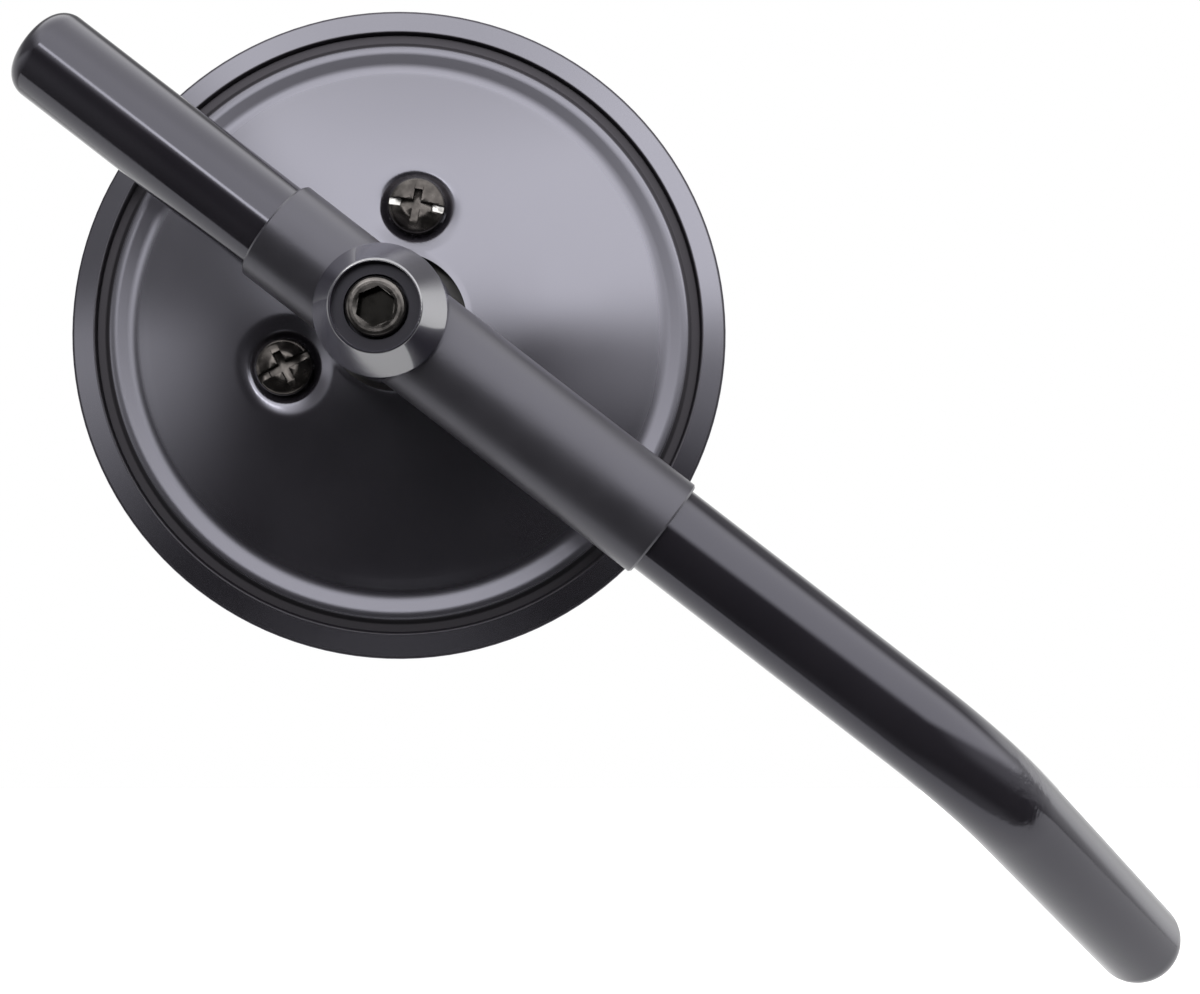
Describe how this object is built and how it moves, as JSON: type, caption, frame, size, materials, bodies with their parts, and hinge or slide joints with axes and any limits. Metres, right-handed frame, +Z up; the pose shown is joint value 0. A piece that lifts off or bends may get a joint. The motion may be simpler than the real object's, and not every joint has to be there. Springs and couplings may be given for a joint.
{
  "type": "motorcycle mirror",
  "caption": "Round motorcycle mirror with a domed black back and crimped bezel, on a ball joint and clamp boss that slide and turn on a bent round stem.",
  "frame": {"origin": "on the stem's axis, in the middle of the straight tail that a clamp holds", "axes": "+Z up as pictured, +X to the right, +Y from the mirror's back towards its glass"},
  "size_m": [0.1783, 0.0541, 0.1551],
  "materials": {
    "gloss_black": "gloss black paint",
    "satin_black": "satin black paint",
    "black_zinc": "black zinc plate",
    "plain_steel": "plain steel",
    "pad_brass": "plain brass",
    "silvered_glass": "silvered glass",
    "gasket_rubber": "matt rubber"
  },
  "bodies": {
    "stem": {"stem": "gloss_black"},
    "sleeve": {"clamp_sleeve": "satin_black"},
    "boss": {"clamp_boss": "gloss_black", "clamp_screw": "black_zinc", "pressure_pad": "pad_brass"},
    "ball": {"ball_stud": "plain_steel"},
    "head": {"back_shell": "gloss_black", "bezel_ring": "gloss_black", "mirror_glass": "silvered_glass", "glass_gasket": "gasket_rubber", "ball_seat_plate": "plain_steel", "ball_clamp_plate": "plain_steel", "shell_screws": "black_zinc", "lock_washers": "plain_steel", "shell_nuts": "plain_steel"}
  },
  "joints": [
    {"name": "sleeve_slide", "type": "slide", "parent": "stem", "child": "sleeve", "axis": [0.7912, 0, -0.6115], "range_m": [-0.035, 0.03]},
    {"name": "boss_turn", "type": "hinge", "parent": "sleeve", "child": "boss", "pos_m": [-0.10511, -0.01972, 0.08541], "axis": [0.7912, 0, -0.6115], "continuous": true},
    {"name": "head_swivel", "type": "hinge", "parent": "boss", "child": "ball", "pos_m": [-0.10511, -0.00272, 0.08541], "axis": [0, -1, 0], "continuous": true},
    {"name": "head_tilt", "type": "hinge", "parent": "ball", "child": "head", "pos_m": [-0.10511, -0.00272, 0.08541], "axis": [0.7912, 0, -0.6115], "range_deg": [-10, 18]}
  ]
}
